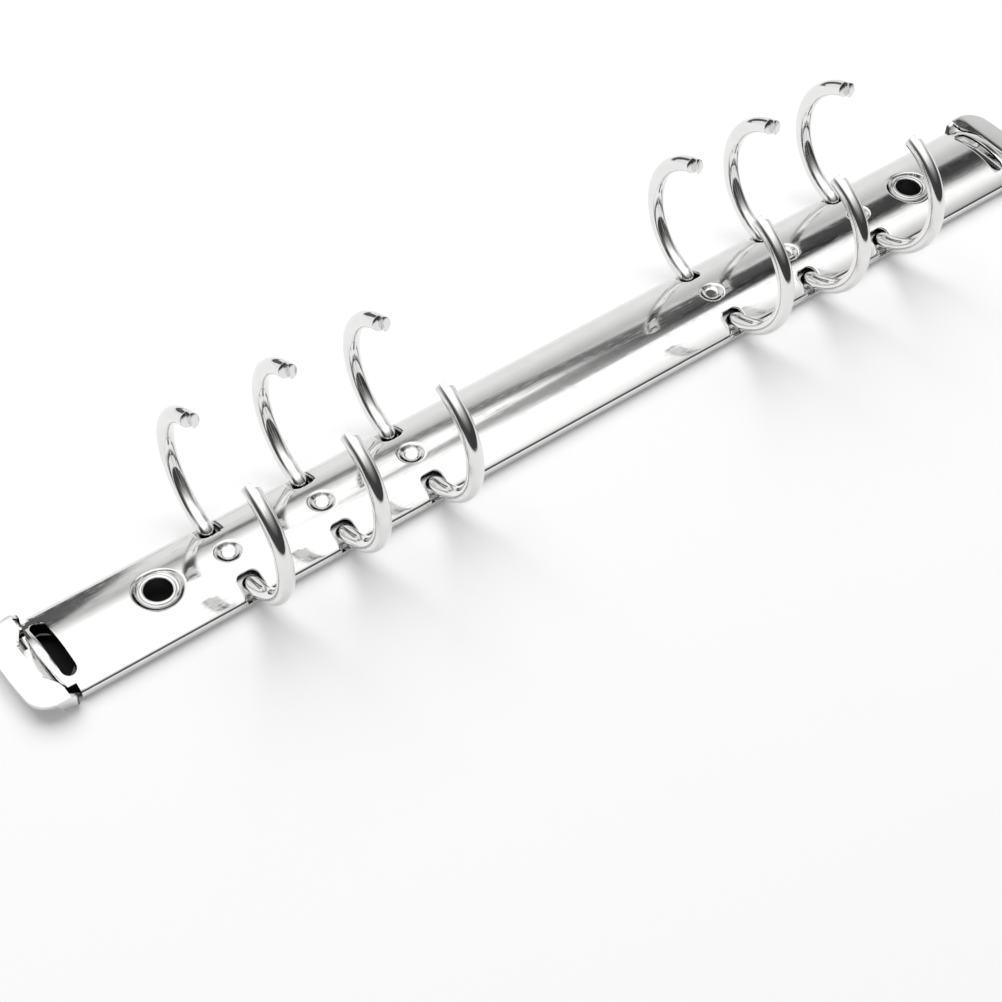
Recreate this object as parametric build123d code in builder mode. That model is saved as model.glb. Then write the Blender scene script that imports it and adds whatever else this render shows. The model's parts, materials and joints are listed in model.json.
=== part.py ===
"""Six-ring binder mechanism, lying open on its underside. Millimetres, +X along the plate, +Z up.

The origin is on the ground under the middle of the plate. The front is the side towards -Y.
"""

from build123d import *
import os
from math import asin, atan, atan2, cos, degrees, hypot, radians, sin, sqrt

# Cover plate
cover_length = 219.2
cover_width = 18.6
cover_height = 4.6
shoulder_height = 1.94
sheet = 0.5
shoulder_radius = 0.9
end_bulge_radius = 25.0

# Rolled edge of the cover, which holds the rails
hem_width = 1.5
hem_radius = 0.7

# Rings: three near each end, on the standard hole spacing
ring_pitch = 19.0
rings_per_end = 3
middle_gap = 70.0
wire_d = 3.0
ring_inside_d = 24.0
ring_bottom_z = 1.05
swing_deg = 18.3
heel_radius = 2.0
ring_from_pivot = 1.9
tenon_d = 1.8
tenon_play = 0.03
rivet_head_d = 2.4
rivet_head_height = 0.35
rivet_head_taper_deg = 30.0
tip_step = 1.1
tip_gap = 0.12

# Rails
rail_sheet = 0.8
rail_middle_gap = 0.2
rail_end_inset = 12.1
pivot_play = 0.1
nose_length = 3.7
nose_width = 1.6
nose_rise = 0.6
nose_root = 1.6

# Ring notches in the cover
notch_side_play = 0.7
notch_end_play = 0.05
notch_corner_radius = 1.4
notch_floor_z = 1.1

# Pressed dimples, which stop the rails
dimple_d = 4.7
dimple_depth = 0.6
dimple_floor_d = 2.0
dimple_flare_deg = 45.0
dimple_rail_gap = 0.05

# Eyelets and their seats
eyelet_spacing = 173.6
seat_d = 9.2
seat_floor_d = 8.4
seat_depth = 0.8
seat_draft_deg = 30.0
eyelet_bore_d = 4.9
eyelet_wall = 0.35
eyelet_lip_d = 6.6
eyelet_lip_height = 0.65
eyelet_bead_d = 6.4
eyelet_bead_height = 0.4
eyelet_foot_d = 6.8
eyelet_foot_height = 0.4
eyelet_play = 0.05
rail_seat_gap = 0.4

# End slots and cut corners of the cover
slot_width = 2.8
slot_end_margin = 1.3
bridge_width = 1.5
corner_cut_length = 2.7
corner_cut_depth = 1.7

# Levers
lever_pivot_inset = 3.0
lever_pivot_z = 1.05
lever_sheet = 0.8
tab_gap = 1.6
tab_reach = 6.0
tab_overhang = 0.7
tab_top_z = 3.6
tab_bulge = 0.7
tab_corner_radius = 4.2
neck_top_z = 1.6
neck_width = 7.4
neck_bend_radius = 0.45
ear_gap = 1.0
ear_length = 2.5
ear_bottom_z = 0.6
ear_top_z = 2.7
ear_shoulder = 1.2
ear_play = 0.3
finger_radius = 0.4
yoke_hem_gap = 1.5
yoke_arm_width = 1.3
yoke_arm_length = 4.6
jaw_width = 2.4
jaw_reach = 6.8
jaw_contact_reach = 6.4
jaw_root_reach = 5.0
jaw_gap = 0.08
ground_gap = 0.06

# Worked out from the sizes above
half_length = cover_length / 2
half_width = cover_width / 2
crown_rise = cover_height - shoulder_height
crown_radius = (half_width**2 + crown_rise**2) / (2 * crown_rise)
crown_centre_z = cover_height - crown_radius
hem_inner_y = half_width - hem_width
hem_opening_top = 2 * sheet
corner_cut_y = half_width - corner_cut_depth
slot_length = 2 * (corner_cut_y - slot_end_margin)
ring_radius = (ring_inside_d + wire_d) / 2
ring_centre_closed_z = ring_bottom_z + ring_radius
pivot_y = half_width - sheet - pivot_play - rail_sheet / 2
pivot_z = sheet + pivot_play + rail_sheet / 2
rail_reach = pivot_y - rail_middle_gap / 2
rail_length = cover_length - 2 * rail_end_inset
notch_width = wire_d + 2 * notch_side_play
notch_inner_y = pivot_y - ring_from_pivot - wire_d / 2 - notch_end_play
seat_floor_z = cover_height - seat_depth
seat_under_z = seat_floor_z - sheet
lever_pivot_x = half_length - lever_pivot_inset
tab_inner_x = half_length + tab_gap
tab_outer_x = half_length + tab_reach
tab_width = cover_width + 2 * tab_overhang
yoke_root_width = 2 * (hem_inner_y - yoke_hem_gap)
tab_join_x = tab_inner_x + 2 * lever_sheet
ear_inner_x = half_length - corner_cut_length + ear_gap
lug_inner_x = ear_inner_x + ear_shoulder
lug_inner_y = corner_cut_y + ear_play
ring_x = []
for end in (-1, 1):
    for step in range(rings_per_end):
        ring_x.append(end * (middle_gap / 2 + step * ring_pitch))
ring_x.sort()


def turned(y, z, angle_deg):
    """Point (y, z) turned towards +Z from +Y by an angle about the origin."""
    angle = radians(angle_deg)
    return y * cos(angle) - z * sin(angle), y * sin(angle) + z * cos(angle)


def crown_z(y):
    """Height of the cover's top surface at a distance y from its middle."""
    return crown_centre_z + sqrt(crown_radius**2 - y**2)


def rail_open_angle():
    """Tilt at which the rail's inner top edge meets the underside of the dimples."""
    rise = cover_height - dimple_depth - sheet - dimple_rail_gap - pivot_z
    half = rail_sheet / 2
    return degrees(asin(rise / hypot(rail_reach, half)) - atan(half / rail_reach))


open_deg = rail_open_angle()


def rail_point(along, above, tilt_deg=open_deg):
    """Point (y, z) of the rear rail: so far inwards from its pivot and so far above its middle."""
    y, z = turned(-along, above, -tilt_deg)
    return pivot_y + y, pivot_z + z


def nose_under_z(y, tilt_deg):
    """Height of the underside of the rails' raised noses at a distance y from the middle."""
    above = nose_rise - rail_sheet / 2
    along = (pivot_y - y + above * sin(radians(tilt_deg))) / cos(radians(tilt_deg))
    return rail_point(min(along, rail_reach), above, tilt_deg)[1]


def jaw_angle(tilt_deg):
    """Lever angle that puts the jaw just under the noses, for a rail tilt."""
    contact_z = min(nose_under_z(jaw_width / 2, tilt_deg), nose_under_z(0, tilt_deg)) - jaw_gap
    return degrees(asin((contact_z - lever_pivot_z) / jaw_contact_reach))


closed_jaw_deg = jaw_angle(open_deg - swing_deg)
lever_swing_deg = jaw_angle(open_deg) - closed_jaw_deg


def rest_z(reach, closed_z):
    """Height at rest of a lever point, so far inwards of its pivot, that closing brings to closed_z."""
    swing = radians(lever_swing_deg)
    return lever_pivot_z + (reach * sin(swing) + closed_z - lever_pivot_z) / cos(swing)


def cover_section(inset=0):
    """Section of the cover's outside: a line along the ground, two skirts and the arched crown.

    With an inset it is the space inside the sheet, opened to the ground between the hems.
    """
    shoulder_z = crown_z(half_width)
    with BuildSketch(Plane.YZ.offset(-half_length)) as section:
        with BuildLine():
            base = Line((-half_width, 0), (half_width, 0))
            skirt = Line(base @ 1, (half_width, shoulder_z))
            crown = ThreePointArc(skirt @ 1, (0, cover_height), (-half_width, shoulder_z))
            Line(crown @ 1, base @ 0)
        make_face()
        fillet(section.vertices().group_by(Axis.Y)[0], hem_radius)
        fillet(section.vertices().group_by(Axis.Y)[-1], shoulder_radius)
        if inset:
            offset(amount=-inset, mode=Mode.REPLACE)
            Rectangle(2 * hem_inner_y, 2 * hem_opening_top)
    return section.sketch


def pressed_bumps():
    """What the dimples and eyelet seats push down below the sheet."""
    with BuildPart() as bumps:
        with BuildSketch(Plane.XY.offset(cover_height - dimple_depth - sheet)):
            with Locations([(x, 0) for x in ring_x]):
                Circle(dimple_floor_d / 2 + sheet / 2)
        extrude(amount=dimple_depth + sheet, taper=-dimple_flare_deg)
        with BuildSketch(Plane.XY.offset(seat_under_z)):
            with GridLocations(eyelet_spacing, 1, 2, 1):
                Circle(seat_d / 2)
        extrude(amount=seat_depth + sheet, taper=-seat_draft_deg)
    return bumps.part


def space_under_cover():
    """Inside of the cover, open to the ground between the hems, with the bumps left out of it."""
    with BuildPart() as space:
        extrude(cover_section(sheet), amount=cover_length)
        add(pressed_bumps(), mode=Mode.SUBTRACT)
    return space.part


def dimple_bowls():
    """Round bowls pressed into the crown, with a small flat floor."""
    with BuildPart() as bowls:
        with BuildSketch(Plane.XZ):
            floor_z = cover_height - dimple_depth
            with BuildLine():
                floor = Line((0, floor_z), (dimple_floor_d / 2, floor_z))
                wall = TangentArc(floor @ 1, (dimple_d / 2, cover_height), tangent=(1, 0))
                Polyline(wall @ 1, (dimple_d / 2, cover_height + sheet), (0, cover_height + sheet), floor @ 0)
            make_face()
        revolve(axis=Axis.Z)
    return bowls.part


def cover_plate():
    """Arched spring-steel cover with its hems, notches, dimples, eyelet seats and end slots."""
    with BuildPart() as cover:
        extrude(cover_section(), amount=cover_length)
        add(space_under_cover(), mode=Mode.SUBTRACT)
        with BuildSketch():
            with BuildLine():
                rim_x = half_length - end_bulge_radius + sqrt(end_bulge_radius**2 - half_width**2)
                right = ThreePointArc((rim_x, -half_width), (half_length, 0), (rim_x, half_width))
                left = ThreePointArc((-rim_x, half_width), (-half_length, 0), (-rim_x, -half_width))
                Line(right @ 1, left @ 0)
                Line(left @ 1, right @ 0)
            make_face()
            with GridLocations(cover_length - corner_cut_length, cover_width, 2, 2):
                Rectangle(corner_cut_length, cover_width - 2 * corner_cut_y, mode=Mode.SUBTRACT)
            slot_middle = half_length - bridge_width - slot_width / 2
            with GridLocations(2 * slot_middle, 1, 2, 1):
                SlotOverall(slot_length, slot_width, rotation=90, mode=Mode.SUBTRACT)
        extrude(amount=cover_height, mode=Mode.INTERSECT)
        with BuildSketch(Plane.XY.offset(notch_floor_z)):
            notch_length = 2 * (half_width - notch_inner_y)
            with Locations([(x, side * half_width) for x in ring_x for side in (-1, 1)]):
                RectangleRounded(notch_width, notch_length, notch_corner_radius)
        extrude(amount=cover_height, mode=Mode.SUBTRACT)
        with Locations([(x, 0) for x in ring_x]):
            add(dimple_bowls(), mode=Mode.SUBTRACT)
        with BuildSketch(Plane.XY.offset(seat_floor_z)):
            with GridLocations(eyelet_spacing, 1, 2, 1):
                Circle(seat_floor_d / 2)
        extrude(amount=seat_depth + sheet, taper=-seat_draft_deg, mode=Mode.SUBTRACT)
        with BuildSketch(Plane.XY.offset(seat_under_z)):
            with GridLocations(eyelet_spacing, 1, 2, 1):
                Circle(eyelet_bore_d / 2 + eyelet_wall + eyelet_play)
        extrude(amount=cover_height, mode=Mode.SUBTRACT)
    return cover


def rail_plane(above=0.0):
    """Plane of the rear rail, its origin on the pivot line, its local Y pointing outwards."""
    tilt = radians(open_deg)
    y, z = rail_point(0, above)
    return Plane(origin=(0, y, z), x_dir=(1, 0, 0), z_dir=(0, sin(tilt), cos(tilt)))


def rear_rail():
    """Rear hinge plate with its rounded outer edge, eyelet cut-outs, ring holes and raised noses."""
    half = rail_sheet / 2
    with BuildPart() as rail:
        with BuildSketch(rail_plane(-half)):
            with Locations((0, -rail_reach / 2)):
                Rectangle(rail_length, rail_reach)
        extrude(amount=rail_sheet)
        edge = Plane(origin=(-rail_length / 2, pivot_y, pivot_z), z_dir=(1, 0, 0))
        with BuildSketch(edge):
            Circle(half)
        extrude(amount=rail_length)
        with BuildSketch(rail_plane(-half)):
            with Locations([(x, -ring_from_pivot) for x in ring_x]):
                Circle(tenon_d / 2 + tenon_play)
            with Locations((-eyelet_spacing / 2, -pivot_y), (eyelet_spacing / 2, -pivot_y)):
                Circle(seat_d / 2 + rail_seat_gap)
        extrude(amount=rail_sheet, mode=Mode.SUBTRACT)
        nose_middle = -rail_reach + nose_width / 2
        nose_base = rail_length / 2 - nose_root
        nose_total = nose_root + nose_length
        with BuildSketch(rail_plane(nose_rise - half)):
            with GridLocations(2 * nose_base + nose_total, 1, 2, 1):
                with Locations((0, nose_middle)):
                    Rectangle(nose_total, nose_width)
        extrude(amount=rail_sheet)
    return rail


def open_ring_centre():
    """Centre (y, z) of a rear ring half's circle, swung out from closed about the rail's pivot."""
    y, z = turned(-pivot_y, ring_centre_closed_z - pivot_z, -swing_deg)
    return pivot_y + y, pivot_z + z


def heel_bend(centre, foot):
    """Centre (y, z) of the heel's bend, and its height above the foot along the leg.

    The bend touches the leg's line on its outer side and the ring's circle from outside.
    """
    leg = turned(0, 1, -open_deg)
    outwards = turned(1, 0, -open_deg)
    start = (foot[0] + outwards[0] * heel_radius, foot[1] + outwards[1] * heel_radius)
    from_centre = (start[0] - centre[0], start[1] - centre[1])
    along = from_centre[0] * leg[0] + from_centre[1] * leg[1]
    apart = ring_radius + heel_radius
    height = -along - sqrt(along**2 - from_centre[0] ** 2 - from_centre[1] ** 2 + apart**2)
    return (start[0] + height * leg[0], start[1] + height * leg[1]), height


def across_ring(x, centre, angle_deg):
    """Plane square to the wire at an angle round the ring's circle, counted from +Y to +Z."""
    y, z = turned(ring_radius, 0, angle_deg)
    origin = (x, centre[0] + y, centre[1] + z)
    return Plane(origin=origin, x_dir=(1, 0, 0), z_dir=(0, *turned(0, 1, angle_deg)))


def rear_ring_half(x, lap_side):
    """Rear ring half at x: wire arc, heel, leg on the rail, tenon through it and rivet head."""
    centre = open_ring_centre()
    foot = rail_point(ring_from_pivot, rail_sheet / 2)
    bend, leg_height = heel_bend(centre, foot)
    meet_deg = degrees(atan2(bend[1] - centre[1], bend[0] - centre[0]))
    tip_deg = 90 - swing_deg
    overlap_deg = degrees((tip_step - tip_gap) / 2 / ring_radius)
    up = Plane(origin=(x, *foot), x_dir=(1, 0, 0), z_dir=(0, *turned(0, 1, -open_deg)))
    ring_axis = Axis((x, *centre), (1, 0, 0))
    bend_axis = Axis((x, *bend), (-1, 0, 0))
    with BuildPart() as ring:
        with BuildSketch(up):
            Circle(wire_d / 2)
        extrude(amount=leg_height)
        with BuildSketch(up.offset(leg_height)):
            Circle(wire_d / 2)
        revolve(axis=bend_axis, revolution_arc=-open_deg - meet_deg)
        with BuildSketch(across_ring(x, centre, meet_deg)):
            Circle(wire_d / 2)
        revolve(axis=ring_axis, revolution_arc=tip_deg + overlap_deg - meet_deg)
        down = Plane(origin=up.origin, x_dir=(1, 0, 0), z_dir=-up.z_dir)
        with BuildSketch(down):
            Circle(tenon_d / 2)
        extrude(amount=rail_sheet)
        with BuildSketch(down.offset(rail_sheet)):
            Circle(rivet_head_d / 2)
        extrude(amount=rivet_head_height, taper=rivet_head_taper_deg)
        lap = across_ring(x, centre, tip_deg).offset(-(tip_step + tip_gap) / 2)
        with BuildSketch(lap):
            with Locations((lap_side * (wire_d - tip_gap) / 2, 0)):
                Rectangle(wire_d, 2 * wire_d)
        extrude(amount=2 * tip_step, mode=Mode.SUBTRACT)
    return ring


def mirrored_to_front(rear):
    """The same piece on the front side of the plate."""
    with BuildPart() as front:
        mirror(rear.part, about=Plane.XZ)
    return front


def eyelet(x):
    """Tubular post: lip in the seat, bead crimped under it, barrel and flared foot on the ground."""
    bore = eyelet_bore_d / 2
    barrel = bore + eyelet_wall
    lip = eyelet_lip_d / 2
    bead = eyelet_bead_d / 2
    foot = eyelet_foot_d / 2
    lip_top = seat_floor_z + eyelet_lip_height
    bead_low = seat_under_z - eyelet_bead_height
    with BuildPart() as post:
        with BuildSketch(Plane.XZ):
            with BuildLine():
                Line((bore, 0), (bore, lip_top - eyelet_wall))
                RadiusArc((bore, lip_top - eyelet_wall), (bore + eyelet_wall, lip_top), eyelet_wall)
                Line((bore + eyelet_wall, lip_top), (lip - eyelet_wall, lip_top))
                RadiusArc((lip - eyelet_wall, lip_top), (lip, lip_top - eyelet_wall), eyelet_wall)
                Polyline(
                    (lip, lip_top - eyelet_wall),
                    (lip, seat_floor_z),
                    (barrel, seat_floor_z),
                    (barrel, seat_under_z),
                    (bead, seat_under_z),
                    (barrel, bead_low),
                    (barrel, eyelet_foot_height),
                    (foot, 0),
                    (bore, 0),
                )
            make_face()
        revolve(axis=Axis.Z)
    with BuildPart() as placed:
        with Locations((x, 0, 0)):
            add(post.part)
    return placed


def lever_profile():
    """Side view of the lever's middle: off the tab, down the bend, along the neck to the jaw."""
    jaw_x = lever_pivot_x - jaw_reach
    arms_x = lever_pivot_x - yoke_arm_length
    closed_top_z = lever_pivot_z + jaw_contact_reach * sin(radians(closed_jaw_deg))
    jaw_top_z = lever_pivot_z + jaw_contact_reach * sin(radians(jaw_angle(open_deg)))
    neck_under_z = neck_top_z - lever_sheet
    tab_under_z = tab_top_z - lever_sheet
    bend_x = tab_inner_x + lever_sheet
    with BuildSketch(Plane.XZ.offset(-tab_width / 2)) as profile:
        with BuildLine():
            Polyline(
                (tab_join_x, tab_under_z),
                (tab_join_x, tab_top_z),
                (tab_inner_x, tab_top_z),
                (tab_inner_x, neck_top_z),
                (lever_pivot_x, neck_top_z),
                (lever_pivot_x - jaw_root_reach, rest_z(jaw_root_reach, closed_top_z)),
                (lever_pivot_x - jaw_contact_reach, jaw_top_z),
                (jaw_x, jaw_top_z),
                (jaw_x, rest_z(jaw_reach, ground_gap)),
                (arms_x, rest_z(yoke_arm_length, ground_gap)),
                (lever_pivot_x, neck_under_z),
                (bend_x, neck_under_z),
                (bend_x, tab_under_z),
                close=True,
            )
        make_face()
        upper = profile.vertices().filter_by(lambda v: abs(v.X - tab_inner_x) < 0.01).sort_by(Axis.Y)
        lower = profile.vertices().filter_by(lambda v: abs(v.X - bend_x) < 0.01).sort_by(Axis.Y)
        fillet([upper[0], lower[-1]], neck_bend_radius)
        fillet([upper[-1], lower[0]], neck_bend_radius + lever_sheet)
    return profile.sketch


def tab_plan():
    """Plan of the half-moon tab with its two lugs, open in the middle for the bridge and neck."""
    corner_x = tab_outer_x - tab_bulge
    half = tab_width / 2
    with BuildSketch(Plane.XY.offset(tab_top_z - lever_sheet)) as plan:
        with BuildLine():
            rim = ThreePointArc((corner_x, -half), (tab_outer_x, 0), (corner_x, half))
            Polyline(rim @ 1, (lug_inner_x, half), (lug_inner_x, -half), rim @ 0)
        make_face()
        fillet(plan.vertices().group_by(Axis.X)[-1], tab_corner_radius)
        with Locations(((lug_inner_x + tab_inner_x) / 2, 0)):
            Rectangle(tab_inner_x - lug_inner_x, 2 * lug_inner_y, mode=Mode.SUBTRACT)
        with Locations(((tab_inner_x + tab_join_x) / 2, 0)):
            Rectangle(tab_join_x - tab_inner_x, neck_width, mode=Mode.SUBTRACT)
    return plan.sketch


def yoke_plan():
    """Plan of the neck and of the yoke, whose two arms close in on the jaw."""
    root_x = half_length - bridge_width
    arms_x = lever_pivot_x - yoke_arm_length
    jaw_x = lever_pivot_x - jaw_reach
    arm_outer_y = yoke_root_width / 2
    with BuildSketch() as plan:
        with BuildLine():
            upper = Polyline(
                (tab_join_x, neck_width / 2),
                (root_x + yoke_arm_width, neck_width / 2),
                (root_x + yoke_arm_width, arm_outer_y),
                (lever_pivot_x, arm_outer_y),
                (arms_x, jaw_width / 2 + yoke_arm_width),
                (arms_x - yoke_arm_width, jaw_width / 2),
                (jaw_x, jaw_width / 2),
            )
            lower = mirror(upper, about=Plane.XZ)
            Line(upper @ 0, lower @ 0)
            Line(upper @ 1, lower @ 1)
        make_face()
        with BuildLine():
            upper = Polyline(
                (root_x, arm_outer_y - yoke_arm_width),
                (lever_pivot_x, arm_outer_y - yoke_arm_width),
                (arms_x, jaw_width / 2),
            )
            lower = mirror(upper, about=Plane.XZ)
            Line(upper @ 0, lower @ 0)
            Line(upper @ 1, lower @ 1)
        make_face(mode=Mode.SUBTRACT)
    return plan.sketch


def lever_ear(side):
    """Ear bent down from one lug, with the finger that reaches into the cover's channel."""
    outer_y = side * tab_width / 2
    finger_width = 2 * finger_radius
    inner_y = pivot_y - finger_radius
    with BuildPart() as ear:
        with BuildSketch(Plane.XZ.offset(-outer_y)):
            with BuildLine():
                Polyline(
                    (ear_inner_x, ear_bottom_z),
                    (ear_inner_x + ear_length, ear_bottom_z),
                    (tab_inner_x + lever_sheet, tab_top_z),
                    (lug_inner_x, tab_top_z),
                    (ear_inner_x, ear_top_z),
                    close=True,
                )
            make_face()
        extrude(amount=side * lever_sheet)
        with BuildSketch(Plane.XY.offset(lever_pivot_z - finger_radius)):
            root_x = ear_inner_x + finger_width
            with Locations(((ear_inner_x + root_x) / 2, side * (inner_y + tab_width / 2 - ear_play) / 2)):
                Rectangle(finger_width, tab_width / 2 - ear_play - inner_y)
            with Locations(((lever_pivot_x + root_x) / 2, side * pivot_y)):
                Rectangle(root_x - lever_pivot_x, finger_width)
        extrude(amount=finger_width)
        with BuildSketch(Plane.XZ.offset(-side * inner_y)):
            with Locations((lever_pivot_x, lever_pivot_z)):
                Circle(finger_radius)
        extrude(amount=-side * finger_width)
    return ear.part


def right_lever():
    """Thumb lever: half-moon tab, ears in the cover's corners, neck and a jaw under the noses."""
    with BuildPart() as lever:
        extrude(lever_profile(), amount=tab_width)
        extrude(yoke_plan(), amount=cover_height, mode=Mode.INTERSECT)
        extrude(tab_plan(), amount=lever_sheet)
        add(lever_ear(1))
        add(lever_ear(-1))
    return lever


def mirrored_to_left(right):
    """The same piece on the left end of the plate."""
    with BuildPart() as left:
        mirror(right.part, about=Plane.YZ)
    return left


def write(piece, name):
    """Name a finished piece and write it to its own file."""
    piece.part.label = name
    export_step(piece.part, f"parts/{name}.step")


os.makedirs("parts", exist_ok=True)
write(cover_plate(), "cover_plate")
rail = rear_rail()
write(rail, "rear_rail")
write(mirrored_to_front(rail), "front_rail")
for number, x in enumerate(ring_x, 1):
    write(rear_ring_half(x, -1), f"rear_ring_{number}")
    write(mirrored_to_front(rear_ring_half(x, 1)), f"front_ring_{number}")
write(eyelet(-eyelet_spacing / 2), "left_eyelet")
write(eyelet(eyelet_spacing / 2), "right_eyelet")
lever = right_lever()
write(lever, "right_lever")
write(mirrored_to_left(lever), "left_lever")
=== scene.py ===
# %% [markdown]
# # A six-ring binder mechanism in nickel-plated steel
# An arched spring-steel cover carries two rails, and each rail carries six half rings of wire. A thumb
# lever at each end tips the rails. It lies open on a pale floor. Everything here is in metres, in the
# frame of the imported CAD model, so a piece is made where the model says and needs no fitting.

# %% Load the frame
import json
from math import asin, atan2, ceil, cos, degrees, hypot, pi, radians, sin, sqrt, tan

import bmesh
import bpy
import numpy as np
from mathutils import Matrix, Vector
from mathutils.geometry import delaunay_2d_cdt


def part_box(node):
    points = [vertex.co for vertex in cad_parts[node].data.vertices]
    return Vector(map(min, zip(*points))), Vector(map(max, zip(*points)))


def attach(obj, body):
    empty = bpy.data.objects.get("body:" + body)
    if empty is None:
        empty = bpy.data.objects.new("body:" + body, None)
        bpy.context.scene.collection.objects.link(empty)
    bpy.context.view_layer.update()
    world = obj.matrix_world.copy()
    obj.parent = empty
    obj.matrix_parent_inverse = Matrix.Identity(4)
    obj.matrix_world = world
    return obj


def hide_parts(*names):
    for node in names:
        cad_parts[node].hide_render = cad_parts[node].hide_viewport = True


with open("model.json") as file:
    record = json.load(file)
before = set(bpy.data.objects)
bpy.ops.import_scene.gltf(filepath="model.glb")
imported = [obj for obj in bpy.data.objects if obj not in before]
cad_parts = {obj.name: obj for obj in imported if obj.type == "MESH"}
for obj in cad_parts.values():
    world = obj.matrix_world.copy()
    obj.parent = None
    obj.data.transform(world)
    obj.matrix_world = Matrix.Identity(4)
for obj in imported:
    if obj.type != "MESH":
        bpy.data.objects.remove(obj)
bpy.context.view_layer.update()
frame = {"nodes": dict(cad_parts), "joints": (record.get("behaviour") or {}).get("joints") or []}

MM = 0.001
joint = {entry["name"]: entry for entry in frame["joints"]}

# %% [markdown]
# ## Camera
# The photograph looks down across the plate from its near left end with a long lens. Its place and
# turn were worked out from the ring spacing, the holes and the ends of the plate. The picture is
# square, so the lens follows from the focal length in pixels over the picture's width.

# %% Camera
PICTURE = 1002
focal_pixels = 2191.6
camera_place = Vector((-185.92, -203.89, 294.73)) * MM
right = Vector((0.7942, -0.6062, 0.0415)).normalized()
forward = Vector((0.4147, 0.4910, -0.7661)).normalized()
forward = (forward - right * forward.dot(right)).normalized()
up = right.cross(forward)

camera = bpy.data.objects.new("camera", bpy.data.cameras.new("camera"))
camera.data.sensor_width = 36.0
camera.data.lens = focal_pixels / PICTURE * camera.data.sensor_width
camera.data.clip_start, camera.data.clip_end = 0.01, 20.0
turn = Matrix((right, up, -forward)).transposed().to_4x4()
camera.matrix_world = Matrix.Translation(camera_place) @ turn
bpy.context.scene.collection.objects.link(camera)
bpy.context.scene.camera = camera
bpy.context.scene.view_settings.view_transform = "Standard"
print("lens", round(camera.data.lens, 2), "mm")


# %% [markdown]
# ## Helpers for node trees
# Materials, the world and the geometry trees are all made of nodes. A short helper that adds a node,
# sets it and links it keeps the rest readable, and the others name what is used often.

# %% Node helpers
def add_node(tree, kind, links=None, **settings):
    """Add a node, set its properties and feed its inputs from values or from other sockets."""
    made = tree.nodes.new(kind)
    for name, value in settings.items():
        setattr(made, name, value)
    for name, value in (links or {}).items():
        socket = made.inputs[name]
        if isinstance(value, bpy.types.NodeSocket):
            tree.links.new(value, socket)
        else:
            socket.default_value = value
    return made


def math(tree, operation, *values, clamp=False):
    """Output of a Math node."""
    made = add_node(tree, "ShaderNodeMath", dict(enumerate(values)), operation=operation, use_clamp=clamp)
    return made.outputs[0]


def ramp(tree, factor, stops):
    """Output of a grey Color Ramp, from (place, brightness) pairs."""
    made = add_node(tree, "ShaderNodeValToRGB", {"Fac": factor})
    elements = made.color_ramp.elements
    while len(elements) < len(stops):
        elements.new(0.5)
    for element, (place, grey) in zip(elements, sorted(stops)):
        element.position = place
        element.color = (grey, grey, grey, 1)
    return made.outputs["Color"]


def blend(tree, factor, first, second):
    """Grey mix of two values."""
    made = add_node(tree, "ShaderNodeMix", {"Factor": factor})
    tree.links.new(first, made.inputs[2])
    tree.links.new(second, made.inputs[3])
    return made.outputs[0]


def smooth_step(tree, value, low, high):
    """0 below low, 1 above high, with a soft change between them."""
    made = add_node(tree, "ShaderNodeMapRange", {"Value": value, "From Min": low, "From Max": high})
    made.interpolation_type = "SMOOTHSTEP"
    return made.outputs["Result"]


print("helpers", [made.__name__ for made in (add_node, math, ramp, blend, smooth_step)])

# %% [markdown]
# ## Studio
# Polished metal shows the room more than it shows itself. This room has a wide white ceiling of soft
# light, a pale far wall and a dark near side, where the light ends and the camera stands. Two screens
# and a dark edge, which runs round under the ceiling, give the plate its long dark streaks. Each wall
# is a list of heights above the horizon with their brightness. Angles are in degrees, and bearings
# count from the far side to the right.

# %% Room
CEILING = 1.3
FAR_WALL = [(-90, 0.70), (14, 0.72), (22, 0.62), (29, 0.51), (34, 0.46), (40, 0.70), (46, 1.0), (90, 1.0)]
NEAR_SIDE = [(-90, 0.05), (-12, 0.04), (18, 0.04), (30, 0.14), (40, 0.34), (50, 0.66), (58, 1.0)]
LEFT_SIDE = [(-90, 0.05), (-30, 0.04), (20, 0.05), (31, 0.22), (39, 0.75), (46, 1.0), (90, 1.0)]
# bearing, half width and soft edge of a side, and its wall
SIDES = [(180, 74, 22, NEAR_SIDE), (-112, 34, 24, LEFT_SIDE)]
# bearing, half width, lowest and highest height, soft edge, brightness kept
SCREENS = [(2, 13.2, -12, 32.5, 1.0, 0.12), (58, 12, 50, 61, 5, 0.34)]
# bearing, height, half width, darkness
EDGE = [
    (17, 27, 1.5, 0.0), (20, 29, 2.5, 0.7), (26, 32, 3.0, 0.55), (35, 40, 3.2, 0.75), (41, 43, 3.6, 0.82),
    (46, 44.5, 5.0, 0.90), (52, 44.5, 8.0, 0.93), (58, 45.5, 9.5, 0.95), (66, 47, 8.5, 0.95),
    (75, 46.5, 6.5, 0.86), (84, 46, 5.5, 0.55), (92, 45, 5.0, 0.25), (100, 45, 4.0, 0.0),
]
print("room", len(SIDES), "sides", len(SCREENS), "screens, edge from", EDGE[0][0], "to", EDGE[-1][0])


# %% [markdown]
# The room's brightness is worked out from a direction alone, so the same function serves the world and
# the far parts of the floor.

# %% Room by direction
def bearing_band(tree, bearing, middle, half, soft):
    """1 within half a width of a middle bearing in degrees, falling to 0 over a soft edge."""
    apart = math(tree, "ABSOLUTE", math(tree, "WRAP", math(tree, "SUBTRACT", bearing, middle), -180, 180))
    return math(tree, "SUBTRACT", 1, smooth_step(tree, apart, half - soft / 2, half + soft / 2))


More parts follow.
